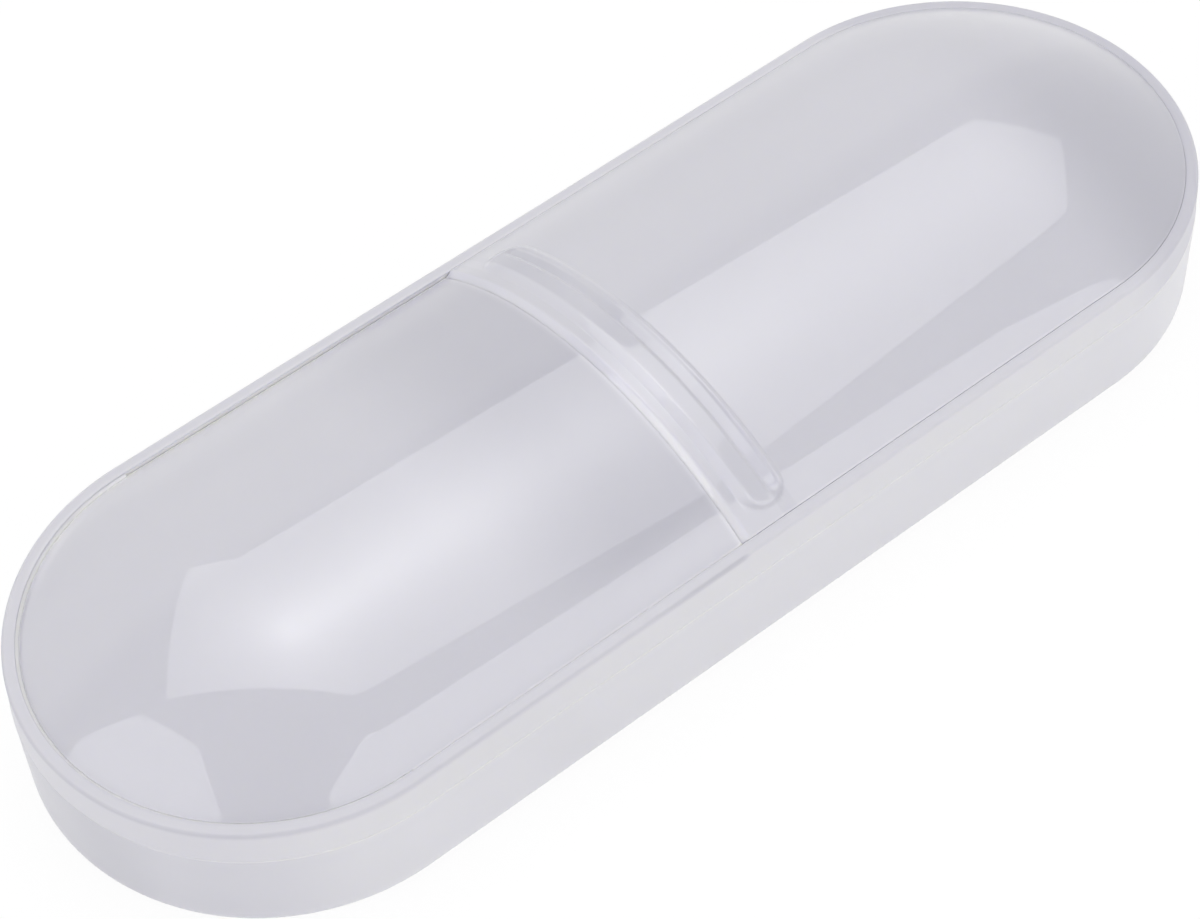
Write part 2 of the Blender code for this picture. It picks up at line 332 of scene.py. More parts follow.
class ShellMaker:
    """Makes shells with one Geometry Nodes tree that carries a section round the case."""

    INPUTS = {
        "End Centre": "Float", "Edge": "Float", "Nose Length": "Float", "Nose Steps": "Int",
        "Fine Length": "Float", "Fine Steps": "Int", "Plain Steps": "Int", "End Steps": "Int",
        "Turn": "Float", "Both Ends": "Bool", "Weld Distance": "Float", "Finish": "Material",
    }

    def __init__(self, outline: Outline) -> None:
        """Build the tree.

        Args:
            outline: The shared outline.
        """
        self.outline = outline
        self.tree = bpy.data.node_groups.new("shell_round_case", "GeometryNodeTree")
        self._declare()
        self._write()

    def _declare(self) -> None:
        face = self.tree.interface
        face.new_socket("Section", in_out="INPUT", socket_type="NodeSocketGeometry")
        for name, kind in self.INPUTS.items():
            face.new_socket(name, in_out="INPUT", socket_type="NodeSocket" + kind)
        face.new_socket("Shell", in_out="OUTPUT", socket_type="NodeSocketGeometry")

    def _write(self) -> None:
        """Write the nodes that lay a grid of points and bend it into the shell."""
        pen = NodeWriter(self.tree)
        given = pen.add("NodeGroupInput").outputs
        size = pen.add(
            "GeometryNodeAttributeDomainSize", {"Geometry": given["Section"]}, component="MESH"
        )
        across = size.outputs["Point Count"]
        fine_start = given["Nose Steps"]
        plain_start = pen.math("ADD", fine_start, given["Fine Steps"])
        end_start = pen.math("ADD", plain_start, given["Plain Steps"])
        last = pen.math("ADD", pen.math("MULTIPLY", end_start, 2.0), given["End Steps"])
        grid = pen.add("GeometryNodeMeshGrid", {
            "Vertices X": pen.math("ADD", last, 1.0), "Vertices Y": across,
        })
        index = pen.add("GeometryNodeInputIndex").outputs[0]
        station = pen.math("FLOOR", pen.math("DIVIDE", pen.math("ADD", index, 0.5), across))
        sample = pen.add("GeometryNodeSampleIndex", {
            "Geometry": given["Section"],
            "Value": pen.add("GeometryNodeInputPosition").outputs[0],
            "Index": pen.math("SUBTRACT", index, pen.math("MULTIPLY", station, across)),
        }, data_type="FLOAT_VECTOR", domain="POINT")
        radius, _, height = pen.add("ShaderNodeSeparateXYZ", {0: sample.outputs[0]}).outputs

        step = pen.math("MINIMUM", station, pen.math("SUBTRACT", last, station))
        share = pen.math("DIVIDE", step, fine_start, clamp=True)
        quarter = pen.math("MULTIPLY", share, math.pi / 2)
        rise = pen.math("SUBTRACT", 1.0, pen.math("COSINE", quarter))
        nose = pen.math("MULTIPLY", rise, given["Nose Length"])
        fine = pen.remap(step, fine_start, plain_start, 0.0, given["Fine Length"])
        taken = pen.math("ADD", given["Nose Length"], given["Fine Length"])
        length = pen.math("SUBTRACT", given["End Centre"], given["Edge"])
        room = pen.math("SUBTRACT", length, taken)
        plain = pen.remap(step, plain_start, end_start, 0.0, room)
        along = pen.math("ADD", pen.math("ADD", given["Edge"], nose), pen.math("ADD", fine, plain))
        end_stop = pen.math("ADD", end_start, given["End Steps"])
        angle = pen.remap(station, end_start, end_stop, -math.pi / 2, math.pi / 2)

        bent = pen.add("ShaderNodeCombineXYZ", {
            0: pen.math("ADD", along, pen.math("MULTIPLY", radius, pen.math("COSINE", angle))),
            1: pen.math("MULTIPLY", radius, pen.math("SINE", angle)),
            2: height,
        })
        placed = pen.add("GeometryNodeSetPosition", {
            "Geometry": grid.outputs["Mesh"], "Position": bent.outputs[0],
        }).outputs[0]
        joined = pen.add("GeometryNodeJoinGeometry", {0: placed})
        pen.feed(joined.inputs[0], self._turned(pen, placed, math.pi))
        choice = pen.add("GeometryNodeSwitch", {
            "Switch": given["Both Ends"],
            "False": self._turned(pen, placed, given["Turn"]),
            "True": joined.outputs[0],
        }, input_type="GEOMETRY")
        weld = pen.add("GeometryNodeMergeByDistance", {
            "Geometry": choice.outputs[0], "Distance": given["Weld Distance"],
        })
        smooth = pen.add("GeometryNodeSetShadeSmooth", {"Geometry": weld.outputs[0]})
        real = pen.add("GeometryNodeRealizeInstances", {0: smooth.outputs[0]})
        dressed = pen.add("GeometryNodeSetMaterial", {
            "Geometry": real.outputs[0], "Material": given["Finish"],
        })
        pen.add("NodeGroupOutput", {0: dressed.outputs[0]})

    @staticmethod
    def _turned(pen: NodeWriter, shape: bpy.types.NodeSocket, angle: Any) -> bpy.types.NodeSocket:
        """Turn a shape about the case's upright axis.

        Args:
            pen: Writes the nodes.
            shape: The geometry socket.
            angle: The angle in radians, or a socket.

        Returns:
            The turned geometry's socket.
        """
        spin = pen.add("ShaderNodeCombineXYZ", {2: angle})
        move = pen.add("GeometryNodeTransform", {"Geometry": shape, "Rotation": spin.outputs[0]})
        return move.outputs[0]

    def make(
        self, name: str, section: Section, run: Run, finish: bpy.types.Material
    ) -> bpy.types.Object:
        """Carry a section round the case and return the shell as a plain mesh object.

        Args:
            name: The object's name.
            section: The cross-section.
            run: How it is carried along the outline.
            finish: The material that the tree sets.

        Returns:
            The object, with its faces pointing outwards and its cut faces closed.
        """
        points = section.points()
        mesh = bpy.data.meshes.new(name)
        chain = [(place, place + 1) for place in range(len(points) - 1)]
        mesh.from_pydata([(r * MM, 0.0, h * MM) for r, h in points], chain, [])
        shell = put_in_scene(name, mesh)
        values = {
            "End Centre": self.outline.end_centre * MM,
            "Edge": run.edge * MM,
            "Nose Length": run.nose * MM,
            "Nose Steps": run.nose_steps,
            "Fine Length": run.fine * MM,
            "Fine Steps": run.fine_steps,
            "Plain Steps": run.plain_steps,
            "End Steps": run.end_steps,
            "Turn": math.pi if run.end is End.LEFT else 0.0,
            "Both Ends": run.end is End.BOTH,
            "Weld Distance": WELD_DISTANCE * MM,
            "Finish": finish,
        }
        modifier = shell.modifiers.new("shell", "NODES")
        modifier.node_group = self.tree
        for item in self.tree.interface.items_tree:
            if item.in_out == "INPUT" and item.name in values:
                modifier[item.identifier] = values[item.name]
        depsgraph = bpy.context.evaluated_depsgraph_get()
        made = bpy.data.meshes.new_from_object(shell.evaluated_get(depsgraph))
        shell.modifiers.remove(modifier)
        shell.data = made
        made.name = name
        bpy.data.meshes.remove(mesh)
        close_and_face_out(made)
        return shell


def close_and_face_out(mesh: bpy.types.Mesh) -> None:
    """Close the cut faces of a shell and point all its faces outwards.

    Args:
        mesh: The mesh, changed in place.
    """
    work = bmesh.new()
    work.from_mesh(mesh)
    open_edges = [edge for edge in work.edges if edge.is_boundary]
    if open_edges:
        bmesh.ops.holes_fill(work, edges=open_edges, sides=0)
    if work.calc_volume(signed=True) < 0:
        bmesh.ops.reverse_faces(work, faces=work.faces)
    work.to_mesh(mesh)
    work.free()
    mesh.shade_smooth()
    mesh.set_sharp_from_angle(angle=SHARP_ANGLE)


class Measure(Enum):
    """What a gate is measured along.

    REACH is the distance from the centre line of the outline, ALONG the distance to the
    right of the middle, ACROSS the distance towards the back, and HEIGHT the height.
    """

    REACH = "reach"
    ALONG = "along"
    ACROSS = "across"
    HEIGHT = "height"


@dataclass(frozen=True)
class Gate:
    """A soft step along one measure.

    Args:
        measure: What it is measured along.
        shut: Where the gate is shut, in millimetres.
        wide: Where it is wide open.
    """

    measure: Measure
    shut: float
    wide: float


at_reach = partial(Gate, Measure.REACH)
at_x = partial(Gate, Measure.ALONG)
at_y = partial(Gate, Measure.ACROSS)
at_height = partial(Gate, Measure.HEIGHT)


@dataclass(frozen=True)
class PaintedZone:
    """A zone of painted light or shade, laid over the plastic's plain colour.

    Args:
        colour: What the plain colour is multiplied by.
        gates: The zone, as gates that must all be open.
    """

    colour: Colour
    gates: tuple[Gate, ...]


def painted_zone(warm: float, blue: float, *gates: Gate) -> PaintedZone:
    """Return a zone of painted light or shade.

    Args:
        warm: The factor for red and green.
        blue: The factor for blue.
        *gates: The zone.

    Returns:
        The zone of painted light or shade.
    """
    return PaintedZone((warm, warm, blue), gates)


@dataclass(frozen=True)
class FrostedPlastic:
    """A milky plastic with a glossy skin and a soft body below it.

    Args:
        name: The material's name.
        colour: Colour of the body.
        haze: Roughness of the body's own reflection.
        gloss: Roughness of the skin.
        skin: How strong the skin's reflection is.
        milk: Share of the light that scatters below the surface.
        clear: Share of the light that passes through the plastic.
        depth: How far it scatters, in millimetres.
        mottle: Share by which the colour varies.
        ripple: Height of the long waves of the moulded surface, in millimetres.
        grain: Height of the fine grain, in millimetres.
        painted_zones: Its zones of painted light and shade.
        seed: Shifts the pattern, so that no two pieces match.
        cloud_scale: Waves per metre of the colour's variation.
        smear_scale: Waves per metre of the roughness's variation.
        smear_range: How far the roughness varies either way.
        ripple_scale: Waves per metre of the long waves.
        grain_scale: Waves per metre of the grain.
        body_ior: Index of refraction of the body.
        skin_ior: Index of refraction of the skin.
        scatter: How far red, green and blue scatter, each as a share of the depth.
    """

    name: str
    colour: Colour
    haze: float = 0.42
    gloss: float = 0.02
    skin: float = 1.0
    milk: float = 1.0
    clear: float = 0.2
    depth: float = 0.12
    mottle: float = 0.012
    ripple: float = 0.004
    grain: float = 0.0012
    painted_zones: tuple[PaintedZone, ...] = ()
    seed: float = 0.0
    cloud_scale: float = 38.0
    smear_scale: float = 120.0
    smear_range: float = 0.04
    ripple_scale: float = 45.0
    grain_scale: float = 2600.0
    body_ior: float = 1.5
    skin_ior: float = 1.75
    scatter: Colour = (1.0, 1.0, 0.9)

    def make(self) -> bpy.types.Material:
        """Build the material.

        Returns:
            The new material.
        """
        material = bpy.data.materials.new(self.name)
        material.use_nodes = True
        material.diffuse_color = (*self.colour, 1.0)
        tree = material.node_tree
        pen = NodeWriter(tree)
        shader = tree.nodes["Principled BSDF"]
        place = pen.add("ShaderNodeTexCoord").outputs["Object"]
        shifted = pen.add("ShaderNodeMapping", {
            "Vector": place, "Location": (self.seed, -self.seed, 0.3 * self.seed),
        }).outputs[0]
        dim = [channel * (1 - self.mottle) for channel in self.colour]
        bright = [min(1.0, channel * (1 + self.mottle)) for channel in self.colour]
        plain = pen.add("ShaderNodeMix", {
            "Factor": self._noise(pen, shifted, self.cloud_scale, 3.0),
            6: (*dim, 1.0),
            7: (*bright, 1.0),
        }, data_type="RGBA").outputs[2]
        smear = self._noise(pen, shifted, self.smear_scale, 2.0)
        smooth, rough = self.haze - self.smear_range, self.haze + self.smear_range
        swell = pen.add("ShaderNodeBump", {
            "Distance": self.ripple * MM,
            "Height": self._noise(pen, shifted, self.ripple_scale, 1.0),
        }).outputs[0]
        tooth = pen.add("ShaderNodeBump", {
            "Distance": self.grain * MM,
            "Height": self._noise(pen, shifted, self.grain_scale, 2.0),
            "Normal": swell,
        }).outputs[0]
        for name, value in (
            ("Base Color", self._painted(pen, place, plain)),
            ("Roughness", pen.remap(smear, 0.3, 0.7, smooth, rough)),
            ("Normal", tooth),
            ("Coat Normal", swell),
            ("IOR", self.body_ior),
            ("Subsurface Weight", self.milk),
            ("Subsurface Radius", self.scatter),
            ("Subsurface Scale", self.depth * MM),
            ("Transmission Weight", self.clear),
            ("Coat Weight", self.skin),
            ("Coat Roughness", self.gloss),
            ("Coat IOR", self.skin_ior),
        ):
            pen.feed(shader.inputs[name], value)
        return material

    def _painted(
        self, pen: NodeWriter, place: bpy.types.NodeSocket, colour: bpy.types.NodeSocket
    ) -> bpy.types.NodeSocket:
        """Lay the painted light and shade over the plain colour.

        Args:
            pen: Writes the nodes.
            place: The object coordinates.
            colour: The plain colour.

        Returns:
            The socket of the colour with its painted light and shade.
        """
        x, y, z = pen.add("ShaderNodeSeparateXYZ", {0: place}).outputs
        over = pen.math("SUBTRACT", pen.math("ABSOLUTE", x), Outline.end_centre * MM)
        squares = [pen.math("POWER", part, 2.0) for part in (pen.math("MAXIMUM", over, 0.0), y)]
        measured = {
            Measure.REACH: pen.math("SQRT", pen.math("ADD", *squares)),
            Measure.ALONG: x,
            Measure.ACROSS: y,
            Measure.HEIGHT: z,
        }
        # Each zone multiplies the colour: above 1 it paints light, below 1 it paints shade.
        for zone in self.painted_zones:
            share: Any = 1.0
            for gate in zone.gates:
                ends = (gate.shut * MM, gate.wide * MM, 0.0, share)
                share = pen.remap(measured[gate.measure], *ends, step="SMOOTHSTEP")
            colour = pen.add("ShaderNodeMix", {
                "Factor": share, 6: colour, 7: (*zone.colour, 1.0),
            }, data_type="RGBA", blend_type="MULTIPLY").outputs[2]
        return colour

    @staticmethod
    def _noise(
        pen: NodeWriter, place: bpy.types.NodeSocket, scale: float, detail: float
    ) -> bpy.types.NodeSocket:
        """Add a noise pattern.

        Args:
            pen: Writes the nodes.
            place: The coordinates.
            scale: The pattern's scale, in waves per metre.
            detail: How many octaves it has.

        Returns:
            The pattern's socket.
        """
        inputs = {"Vector": place, "Scale": scale, "Detail": detail}
        return pen.add("ShaderNodeTexNoise", inputs).outputs[0]


def fit_out(piece: bpy.types.Object, body: str, node: str) -> bpy.types.Object:
    """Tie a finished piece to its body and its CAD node.

    Args:
        piece: The finished piece.
        body: The CAD body that it moves with.
        node: The CAD node that it stands for.

    Returns:
        The same piece.
    """
    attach(piece, body)
    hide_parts(node)
    return piece


@dataclass
class Shell:
    """What every shell is made with.

    Args:
        outline: The shared outline.
        maker: Carries sections round the case.
        finish: The plastic.
    """

    outline: Outline
    maker: ShellMaker
    finish: FrostedPlastic


@dataclass
class Tray(Shell):
    """The deep tray with its neck and rail.

    Args:
        wall: Thickness of the wall.
        floor: Thickness of the floor.
        base_inset: How much narrower the base is than the top.
        bottom_round: Radius of the bottom edge.
        top_round: Radius of the edge at the parting line.
        neck_seat_round: Radius of the corner where the neck rises from the wall's top.
        neck_outer: Outer radius of the neck.
        neck_inner: Inner radius of the neck.
        rail_inner: Inner radius of the rail.
        rail_depth: Thickness of the rail.
        bead_reach: How far the snap bead stands out.
        bead_height: Height of the snap bead.
        root: How far below the parting line the neck begins on the inside.
        rail_round: Radius of the rail's edges.
        shelf_round: Radius between the rail's underside and the neck.
        root_round: Radius of the bends at the neck's root.
        floor_round: Radius between wall and floor.
    """

    wall: float = 1.4
    floor: float = 1.4
    base_inset: float = 0.4
    bottom_round: float = 2.2
    top_round: float = 0.2
    neck_seat_round: float = 0.12
    neck_outer: float = 35.9
    neck_inner: float = 35.0
    rail_inner: float = 32.9
    rail_depth: float = 1.0
    bead_reach: float = 0.25
    bead_height: float = 1.0
    root: float = 0.5
    rail_round: float = 0.3
    shelf_round: float = 0.25
    root_round: float = 0.4
    floor_round: float = 1.2

    def section(self) -> Section:
        """Draw the tray's section, from the middle of its underside to its floor.

        Returns:
            The open section.
        """
        line = self.outline
        base = line.half_width - self.base_inset
        inner = line.half_width - self.wall
        root = line.parting - self.root
        bead = (line.parting + line.rail_top) / 2
        shelf = line.rail_top - self.rail_depth
        return Section((
            Corner(0.0, 0.0),
            Corner(base, 0.0, self.bottom_round),
            Corner(line.half_width, line.parting, self.top_round),
            Corner(self.neck_outer, line.parting, self.neck_seat_round),
            Corner(self.neck_outer, bead - self.bead_height / 2),
            Corner(self.neck_outer + self.bead_reach, bead, line.edge_round),
            Corner(self.neck_outer, bead + self.bead_height / 2),
            Corner(self.neck_outer, line.rail_top, line.edge_round),
            Corner(self.rail_inner, line.rail_top, self.rail_round),
            Corner(self.rail_inner, shelf, self.rail_round),
            Corner(self.neck_inner, shelf, self.shelf_round),
            Corner(self.neck_inner, root, self.root_round),
            Corner(inner, root - (inner - self.neck_inner), self.root_round),
            Corner(base - self.wall, self.floor, self.floor_round),
            Corner(0.0, self.floor),
        ))

    def build(self) -> bpy.types.Object:
        """Build the tray and tie it to the case."""
        tray = self.maker.make("tray_shell", self.section(), Run(End.BOTH), self.finish.make())
        return fit_out(tray, "case", "lower_tray")


@dataclass
class RimFrame(Shell):
    """The upper ring of the wall, with its inward lip.

    Args:
        inner: Inner radius of the ring's wall.
        lip_inner: Inner radius of the lip.
        rim_inset: How far the wall leans in by the rim.
        rim_round: Radius of the rim's outer edge.
        lip_round: Radius of the lip's upper edge.
        base_inset: How far the ring's lower edge stands back from the tray.
        base_round: Radius of the edge at the parting line.
        base_inner_round: Radius of the ring's lower inner edge.
        groove_depth: Depth of the groove that takes the tray's bead.
        groove_height: Height of that groove.
    """

    inner: float = 36.2
    lip_inner: float = 34.995
    rim_inset: float = 0.2
    rim_round: float = 0.6
    lip_round: float = 0.2
    base_inset: float = 0.06
    base_round: float = 0.1
    base_inner_round: float = 0.12
    groove_depth: float = 0.25
    groove_height: float = 1.0

    def section(self) -> Section:
        """Draw the ring's section.

        Returns:
            The closed section.
        """
        line = self.outline
        groove = (line.parting + line.rail_top) / 2
        return Section((
            Corner(line.half_width - self.base_inset, line.ring_base, self.base_round),
            Corner(line.half_width - self.rim_inset, line.rim_top, self.rim_round),
            Corner(self.lip_inner, line.rim_top, self.lip_round),
            Corner(self.lip_inner, line.lip_under, line.edge_round),
            Corner(self.inner, line.lip_under, line.edge_round),
            Corner(self.inner, groove + self.groove_height / 2),
            Corner(self.inner + self.groove_depth, groove, line.edge_round),
            Corner(self.inner, groove - self.groove_height / 2),
            Corner(self.inner, line.ring_base, self.base_inner_round),
        ), closed=True)

    def build(self) -> bpy.types.Object:
        """Build the ring and tie it to the case."""
        ring = self.maker.make("rim_ring", self.section(), Run(End.BOTH), self.finish.make())
        return fit_out(ring, "case", "rim_frame")


@dataclass
class FixedCover(Shell):
    """The left dome, which the lip clamps by its foot.

    Args:
        drop: How far its dome lies below the sliding one.
        wall: Thickness of the dome.
        riser: Outer radius of the wall below the dome.
        foot_reach: Outer radius of the foot.
        shoulder: Radius between dome and riser.
        filler_reach: How far the filler above the foot stands out towards the lip.
        filler_drop: How far the filler's top lies below the rim.
        filler_width: How far the filler reaches over the dome.
        filler_end: How far the foot reaches past the half-round end's centre.
        free_edge: Where it ends, to the left of the middle.
        outer_steps: Steps from the crown line to the riser, outside.
        inner_steps: The same inside.
    """

    drop: float = 0.75
    wall: float = 0.9
    riser: float = 34.98
    foot_reach: float = 35.9
    shoulder: float = 0.04
    filler_reach: float = 0.01
    filler_drop: float = 0.3
    filler_width: float = 0.5
    filler_end: float = 0.5
    free_edge: float = 1.6
    outer_steps: int = 44
    inner_steps: int = 26

    def section(self) -> Section:
        """Draw the dome's section, from the crown over the riser to the inner crown.

        Returns:
            The open section.
        """
        line = self.outline
        radius = line.dome_radius - self.drop
        outer = dome_corners(line, radius, self.riser, self.outer_steps, self.shoulder)
        riser_inner = self.riser - self.wall
        inner = dome_corners(line, radius - self.wall, riser_inner, self.inner_steps)
        return Section((
            *outer,
            Corner(self.riser, line.foot_base, line.edge_round),
            Corner(riser_inner, line.foot_base, line.edge_round),
            *reversed(inner),
        ))

    def foot_section(self) -> Section:
        """Draw the section of the foot and its filler.

        Returns:
            The closed section.
        """
        line = self.outline
        root = self.riser - self.wall / 2
        filler = self.riser + self.filler_reach
        return Section((
            Corner(root, line.foot_base),
            Corner(self.foot_reach, line.foot_base, line.edge_round),
            Corner(self.foot_reach, line.foot_top, line.edge_round),
            Corner(filler, line.foot_top),
            Corner(filler, line.rim_top - self.filler_drop),
            Corner(filler - self.filler_width, self._dome_height(filler - self.filler_width)),
            Corner(root - self.filler_width, line.foot_top),
        ), closed=True)

    def _dome_height(self, radius: float) -> float:
        """Return the height of the dome's outer surface at a radius of the plan."""
        line = self.outline
        return line.dome_centre + math.sqrt((line.dome_radius - self.drop) ** 2 - radius**2)

    def build(self) -> bpy.types.Object:
        """Build the dome with its foot and tie it to the case.

        Returns:
            The finished piece.
        """
        plastic = self.finish.make()
        run = Run(End.LEFT, edge=self.free_edge, nose=0.4, nose_steps=3)
        dome = self.maker.make("left_dome", self.section(), run, plastic)
        foot_edge = self.outline.end_centre - self.filler_end
        foot_run = Run(End.LEFT, edge=foot_edge, nose=0.2, fine=0.3)
        foot = self.maker.make("left_foot", self.foot_section(), foot_run, plastic)
        join_into(dome, foot)
        return fit_out(dome, "case", "fixed_cover")


@dataclass(frozen=True)
class ThumbGrip:
    """The ridge across the sliding cover and the pocket behind it, as a height map.

    Args:
        centre: Where the pad's middle lies along the case.
        offset: How far its middle lies to the back of the crown, along the dome.
        half_width: Half the pad's width.
        half_span: Half the pad's length across the case.
        ridge_offset: How far left of the middle the ridge lies.
        crest: Height of the ridge.
        back: Height of the pad where the pocket begins.
        tail: Height of the pad behind the pocket.
        slope: Rise of the pad's edges for each millimetre inwards.
        front_steepness: How much steeper they rise at its front end.
        pocket_centre: Where the pocket's middle lies along the case.
        pocket_half_width: Half the pocket's width.
        pocket_half_span: Half the pocket's length.
        pocket_floor: Height of the pocket's floor at its left.
        floor_rise: How much the floor rises to its right.
        wall_run: Width of the pocket's steep walls.
        softness: How softly the pad's edges meet its top.
        foot_run: Width of the bend where its edges leave the dome.
    """

    centre: float = -0.7
    offset: float = -1.35
    half_width: float = 4.15
    half_span: float = 33.8
    ridge_offset: float = 2.1
    crest: float = 0.55
    back: float = 0.36
    tail: float = 0.27
    slope: float = 0.31
    front_steepness: float = 1.4
    pocket_centre: float = 1.2
    pocket_half_width: float = 1.65
    pocket_half_span: float = 32.3
    pocket_floor: float = -0.03
    floor_rise: float = 0.1
    wall_run: float = 0.9
    softness: float = 0.07
    foot_run: float = 0.35

    @staticmethod
    def _inside(
        x: np.ndarray, y: np.ndarray, centre: float, half_width: float, half_span: float
    ) -> np.ndarray:
        """Return how far points lie inside a round-ended outline across the case.

        Args:
            x: Places along the case.
            y: Places across it.
            centre: The outline's middle along the case.
            half_width: Half its width.
            half_span: Half its length.

        Returns:
            The distance to the outline, above zero inside.
        """
        over = np.maximum(np.abs(y) - (half_span - half_width), 0.0)
        return half_width - np.hypot(x - centre, over)

    def height(self, x: np.ndarray, y: np.ndarray) -> np.ndarray:
        """Return the height above the dome at places on it.

        Args:
            x: Places along the case.
            y: Places across it, measured along the dome.

        Returns:
            The height of the surface above the plain dome.
        """
        y = y - self.offset
        inside = self._inside(x, y, self.centre, self.half_width, self.half_span)
        ridge_x = self.centre - self.ridge_offset
        pocket_x = self.pocket_centre - self.pocket_half_width
        pocket_end = self.pocket_centre + self.pocket_half_width
        top = np.interp(x, [ridge_x, pocket_x, pocket_end], [self.crest, self.back, self.tail])
        end = np.clip((self.half_width - self.half_span - y) / self.half_width, 0.0, 1.0)
        edge = self.slope * (1 + self.front_steepness * end) * np.maximum(inside, 0.0)
        pad = 0.5 * (top + edge - np.sqrt((top - edge) ** 2 + self.softness**2))
        foot = np.clip(inside / self.foot_run, 0.0, 1.0)
        pad = np.maximum(pad, 0.0) * foot * foot * (3 - 2 * foot)
        deep = self._inside(
            x, y, self.pocket_centre, self.pocket_half_width, self.pocket_half_span
        )
        share = np.clip(deep / self.wall_run, 0.0, 1.0)
        share = share * share * (3 - 2 * share)
        floor = np.interp(x, [pocket_x, pocket_end], [0.0, self.floor_rise]) + self.pocket_floor
        return pad * (1 - share) + floor * share


@dataclass
class SlidingCover(Shell):
    """The right dome, which slides in the track and carries the thumb grip.

    Args:
        wall: Thickness of the dome.
        skirt_outer: Outer radius of the skirt.
        skirt_wall: Thickness of the skirt.
        foot_reach: Outer radius of the foot.
        shoulder: Radius between dome and skirt.
        seam: Where its front edge lies, to the left of the middle.
        nose: Length of the front edge's slope.
        nose_soft: Radius of the bend where that slope begins.
        nose_drop: How far the front edge falls.
        nose_turn: How far the inner side turns down towards the fixed dome.
        outer_steps: Steps from the crown line to the skirt, outside.
        inner_steps: The same inside.
        corner_round: Radius between skirt and foot.
        shoulder_clear: How far above the foot the dome counts as dome.
        pressed_end: Where the zone that is pressed ends, to the right of the middle.
        skirt_give: The most that the skirt moves inwards at the front edge.
        grip: The thumb grip.
    """

    wall: float = 0.55
    skirt_outer: float = 34.99
    skirt_wall: float = 0.005
    foot_reach: float = 35.9
    shoulder: float = 0.06
    seam: float = -7.6
    nose: float = 1.4
    nose_soft: float = 0.25
    nose_drop: float = 0.739
    nose_turn: float = 0.196
    outer_steps: int = 84
    inner_steps: int = 30
    corner_round: float = 0.1
    shoulder_clear: float = 0.4
    pressed_end: float = 6.0
    skirt_give: float = 0.002
    grip: ThumbGrip = field(default_factory=ThumbGrip)

    def section(self) -> Section:
        """Draw the dome's section, from the crown over the skirt to the inner crown.

        Returns:
            The open section.
        """
        line = self.outline
        outer = dome_corners(
            line, line.dome_radius, self.skirt_outer, self.outer_steps, self.shoulder
        )
        skirt_inner = self.skirt_outer - self.skirt_wall
        inner = dome_corners(line, line.dome_radius - self.wall, skirt_inner, self.inner_steps)
        return Section((
            *outer,
            Corner(self.skirt_outer, line.foot_top, self.corner_round),
            Corner(self.foot_reach, line.foot_top, line.edge_round),
            Corner(self.foot_reach, line.foot_base, line.edge_round),
            Corner(skirt_inner, line.foot_base),
            *reversed(inner),
        ))

    def build(self) -> bpy.types.Object:
        """Build the dome with its grip and tie it to the cover.

        Returns:
            The finished piece.
        """
        run = Run(
            End.RIGHT, edge=self.seam, nose=self.nose, nose_steps=10, fine=10.6, fine_steps=100
        )
        dome = self.maker.make("right_dome", self.section(), run, self.finish.make())
        self._press(dome.data)
        return fit_out(dome, "cover", "sliding_cover")

    def _press(self, mesh: bpy.types.Mesh) -> None:
        """Round the front edge and raise the grip on the dome's outer surface.

        Args:
            mesh: The cover's mesh, changed in place.
        """
        count = len(mesh.vertices)
        places = np.empty(count * 3, np.float32)
        mesh.vertices.foreach_get("co", places)
        x, y, z = (places.reshape(-1, 3).astype(float) / MM).T
        line = self.outline
        lift = z - line.dome_centre
        reach = np.hypot(y, lift)
        high = z > line.foot_top + self.shoulder_clear
        on_dome = (reach > line.dome_radius - 0.2) & high
        on_skirt = (np.abs(y) > self.skirt_outer - 0.12) & (z > line.foot_top - 0.01) & ~on_dome
        past = np.clip((self.seam + self.nose - x) / self.nose, 0.0, 1.0)
        soft = self.nose_soft / self.nose
        fall = self.nose_drop * (np.hypot(past, soft) - soft) / (math.hypot(1.0, soft) - soft)
        across = line.dome_radius * np.arctan2(y, lift)
        rise = np.where(x < line.end_centre, self.grip.height(x, across), 0.0) - fall
        under = np.abs(reach - (line.dome_radius - self.wall)) < 0.02
        shift = np.where(on_dome & (x < self.pressed_end), rise, 0.0)
        shift = np.where(under & high, -self.nose_turn * past**2, shift)
        y = y + shift * y / reach
        z = z + shift * lift / reach
        inwards = np.where(on_skirt, np.minimum(fall, self.skirt_give), 0.0)
        y = y - np.sign(y) * inwards
        fresh = np.stack((x, y, z), 1) * MM
        mesh.vertices.foreach_set("co", fresh.astype(np.float32).ravel())
        mesh.update()


def join_into(target: bpy.types.Object, other: bpy.types.Object) -> None:
    """Add another object's mesh to a target's and remove the other object.

    Args:
        target: The object that is kept.
        other: The object whose faces it takes.
    """
    work = bmesh.new()
    work.from_mesh(target.data)
    work.from_mesh(other.data)
    work.to_mesh(target.data)
    work.free()
    bpy.data.objects.remove(other, do_unlink=True)
    target.data.shade_smooth()
    target.data.set_sharp_from_angle(angle=SHARP_ANGLE)


class BoxShape(Enum):
    """The shape of a studio light's front."""

    OCTAGON = "octagon"
    GLOW = "glow"


